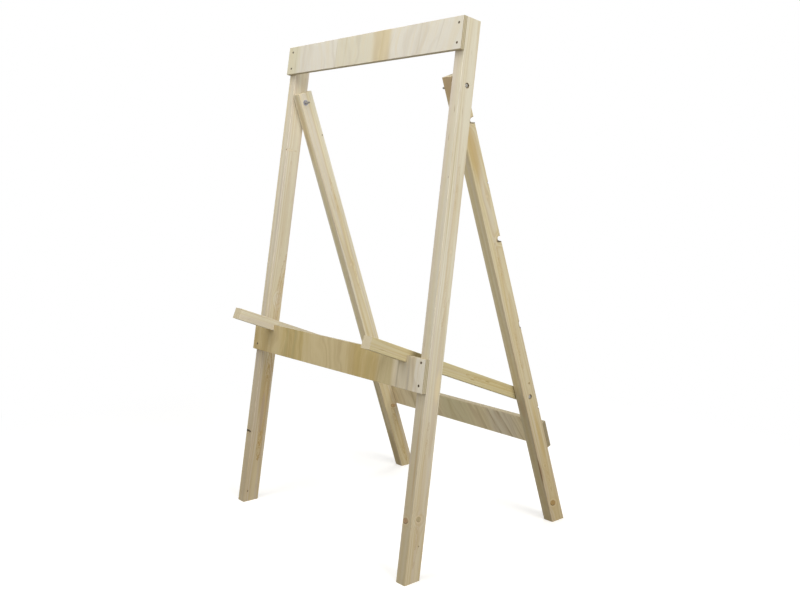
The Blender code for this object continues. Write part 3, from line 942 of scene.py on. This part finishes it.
def makeNut(name, height, nut):
    block = hexBlock(name, 0, height, True, hexagonShape)
    bore = bmesh.new()
    hole, flare, past = nut["hole"], nut["flare"], nut["past"]
    turned(bore, [
        (0, -past), (hole + flare + past, -past), (hole, flare), (hole, height - flare),
        (hole + flare + past, height + past), (0, height + past),
    ], plainTurn)
    cutWith(block, toObject(name + "Bore", bore), "DIFFERENCE")
    return block


def camel(node):
    first, *others = node.split("_")
    return first + "".join(word.capitalize() for word in others)


hardware = (
    ("bolt", "bolt_steel"),
    ("spacer", "washer_steel"),
    ("washer", "washer_steel"),
    ("nut", "bolt_steel"),
)

for joint in ("hinge", "arm"):
    for label, side in (("left", -1), ("right", 1)):
        low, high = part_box(f"{joint}_bolt_{label}")
        y, z = (low.y + high.y) / 2, (low.z + high.z) / 2
        for kind, slot in hardware:
            node = f"{joint}_{kind}_{label}"
            low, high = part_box(node)
            length = high.x - low.x
            if kind == "bolt":
                piece = makeBolt(camel(node), length, boltShape)
            elif kind == "nut":
                piece = makeNut(camel(node), length, nutShape)
            else:
                rim, ease = (high.z - low.z) / 2, ringShape[kind + "Ease"]
                piece = makeRing(camel(node), ringShape["hole"], rim, length, ease)
            settle(piece, alongX(side, high.x if side > 0 else low.x, y, z), node, slot)
print("bolts, washers and nuts made")

screwShape = {
    "headRadius": 0.0045,
    "headHeight": 0.0028,
    "rim": 0.0003,                     # how far down the head's straight rim ends
    "ease": 0.0001,
    "corner": 0.001,                   # under the head
    "shank": 0.00165,
    "threadRadius": 0.00225,
    "threadWidth": 0.0006,
    "threadRoot": 0.0002,              # how far in from the shank's surface it starts
    "pitch": 0.0022,
    "threadSteps": 12,
    "plain": 0.012,                    # the length under the head without a thread
    "tip": 0.006,
    "crossWidth": 0.0011,
    "crossLength": 0.0050,
    "crossDepth": 0.0022,
    "crossTaper": (0.45, 0.7),         # its bottom's length and width, as shares of its top's
    "crossTurn": 1.1,                  # radians from one screw's cross to the next
}


def crossBar(name, turn, screw):       # one tapered bar of the cross pressed into the head
    bar = bmesh.new()
    bmesh.ops.create_cube(bar, size=1)
    size = (screw["crossLength"], screw["crossWidth"], screw["crossDepth"] * 2)
    bmesh.ops.scale(bar, verts=bar.verts, vec=size)
    shorter, narrower = screw["crossTaper"]
    for vert in bar.verts:
        if vert.co.z < 0:
            vert.co.x *= shorter
            vert.co.y *= narrower
    bmesh.ops.rotate(bar, verts=bar.verts, cent=(0, 0, 0), matrix=Matrix.Rotation(turn, 3, "Z"))
    return toObject(name, bar)


def screwThread(name, length, screw):  # a thin wedge wound round the shank
    ridge = bmesh.new()
    width, pitch = screw["threadWidth"], screw["pitch"]
    start = -length + screw["tip"] * 0.7
    turns = int((length - screw["headHeight"] - screw["plain"] - screw["tip"]) / pitch)
    inner = screw["shank"] - screw["threadRoot"]
    wedge = [(inner, start), (screw["threadRadius"], start + width / 2), (inner, start + width)]
    wound(ridge, wedge, True, turns, pitch, screw["threadSteps"])
    bmesh.ops.holes_fill(ridge, edges=ridge.edges[:])
    return toObject(name, ridge)


def makeScrew(name, length, screw):    # head up, its flat top at Z 0
    shape = bmesh.new()
    head, shank, neck = screw["headRadius"], screw["shank"], -screw["headHeight"]
    tip, ease = screw["tip"], screw["ease"]
    turned(shape, [
        (0, -length), (shank * 0.35, -length + tip * 0.3), (shank, -length + tip),
        (shank, neck - screw["corner"]), (shank * 1.1, neck),
        (head, -screw["rim"]), (head, -ease), (head - ease * 2, 0), (0, 0),
    ], plainTurn)
    body = toObject(name + "Body", shape)
    cross = crossBar(name + "Bar", 0, screw)
    cutWith(cross, crossBar(name + "OtherBar", math.pi / 2, screw), "UNION")
    cutWith(body, cross, "DIFFERENCE")
    return joinPieces(name, [body, screwThread(name + "Ridge", length, screw)])


screwedBoards = (
    # board, lean, which way along Y its screws' heads look
    ("top_board", postLean, -1),
    ("front_board", postLean, -1),
    ("rear_board", legLean, 1),
)

for board, lean, outward in screwedBoards:
    for number in range(1, 5):
        node = f"{board}_screw_{number}"
        low, high = turnedBox(node, lean)
        piece = makeScrew(camel(node), high.y - low.y, screwShape)
        faceY = low.y if outward < 0 else high.y
        centre = Vector(((low.x + high.x) / 2, faceY, (low.z + high.z) / 2))
        leaning = Matrix.Rotation(lean, 4, "X") @ Matrix.Translation(centre)
        turn = Matrix.Rotation(number * screwShape["crossTurn"], 4, "Z")
        laid = Matrix.Rotation(-outward * math.pi / 2, 4, "X") @ turn
        settle(piece, leaning @ laid, node, "screw_steel")
print("screws made")


# floor and light

pureWhite = tone(255, 255, 255)

floorShape = {
    "size": 60.0,
    "seen": (236, 235, 232),
    "bounce": (170, 167, 159),
    "glow": 0.40,                      # so that the unshaded floor is seen as white
    "fade": (1.0, 2.6),                # from the stand to where the floor turns plain white
}


def makeFloor(details):
    shape = bmesh.new()
    bmesh.ops.create_grid(shape, x_segments=1, y_segments=1, size=details["size"] / 2)
    floor = toObject("floor", shape)
    look = Look("floor")
    seen = look.background()
    colour = look.mixed(seen, tone(*details["bounce"]), tone(*details["seen"]))
    look.finish(Base_Color=colour, Roughness=0.9, Specular_IOR_Level=0.0)
    x, y = look.parts(look.spot)[:2]
    far = diagonal(x, y).rise(*details["fade"])
    pale = Value(look, look.shader.outputs[0])
    glow = look.node("Emission", None, {"Color": pureWhite, "Strength": details["glow"]})
    lifted = look.node("AddShader", None, {0: pale, 1: glow})
    near = look.node("MixShader", None, {0: seen, 1: pale, 2: lifted})
    white = look.node("Emission", None, {"Color": pureWhite, "Strength": 1.0})
    whole = look.node("MixShader", None, {0: far * seen, 1: near, 2: white})
    look.feed(look.tree.nodes["Material Output"].inputs["Surface"], whole)
    wear("floor", look.material)


makeFloor(floorShape)

studio = {
    "ambient": 0.33,                   # strength of the light from all round
    "lamps": (
        # name, place, aimed at, size, power
        ("sideLamp", (8.4, -0.6, 4.9), (0.0, 0.0, 1.1), 4.8, 500.0),
        ("frontLamp", (-0.4, -3.2, 2.6), (0.0, 0.0, 1.2), 1.8, 33.0),
        ("highLamp", (0.2, -1.0, 3.6), (0.0, 0.0, 0.6), 1.6, 31.0),
        ("backLamp", (-1.4, 2.8, 2.4), (0.0, 0.2, 0.9), 1.8, 24.0),
    ),
}


def lightStudio(details):
    world = bpy.data.worlds.new("studio")
    world.use_nodes = True
    bpy.context.scene.world = world
    sky = Nodes(world.node_tree)
    ambient = sky.node("Background", None, {"Color": pureWhite, "Strength": details["ambient"]})
    white = sky.node("Background", None, {"Color": pureWhite, "Strength": 1.0})
    blend = sky.node("MixShader", None, {0: sky.background(), 1: ambient, 2: white})
    sky.feed(sky.tree.nodes["World Output"].inputs["Surface"], blend)
    for name, place, aim, size, power in details["lamps"]:
        lamp = bpy.data.lights.new(name, "AREA")
        lamp.size = size
        lamp.energy = power
        made = bpy.data.objects.new(name, lamp)
        bpy.context.scene.collection.objects.link(made)
        made.location = place
        made.rotation_euler = (Vector(aim) - Vector(place)).to_track_quat("-Z", "Y").to_euler()


lightStudio(studio)
bpy.context.scene.view_settings.view_transform = "Standard"
print("studio lit")
